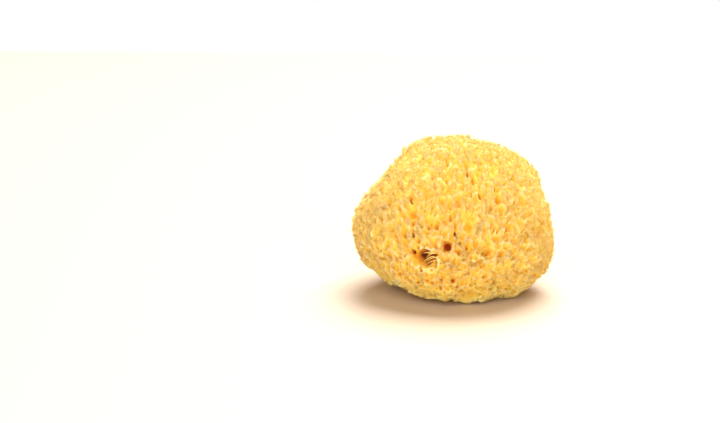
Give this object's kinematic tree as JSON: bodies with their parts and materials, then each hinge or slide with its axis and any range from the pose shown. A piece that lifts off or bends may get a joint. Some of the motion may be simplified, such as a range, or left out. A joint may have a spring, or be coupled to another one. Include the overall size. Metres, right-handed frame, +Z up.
{
  "type": "sea sponge",
  "caption": "Natural sea sponge for bathing, a domed tufted body with open vents, standing on its flat cut underside.",
  "frame": {"origin": "on the flat cut underside, below the middle of the whole sponge", "axes": "+Z up out of the cut, -Y towards the side with the largest front vents, +X along the sponge's longest side"},
  "size_m": [0.1054, 0.098, 0.0815],
  "materials": {
    "sponge_fibre": "matt, springy, porous natural fibre, pale at the tuft tips and deep orange in the pits"
  },
  "bodies": {
    "root": {"sponge": "sponge_fibre"}
  },
  "joints": []
}
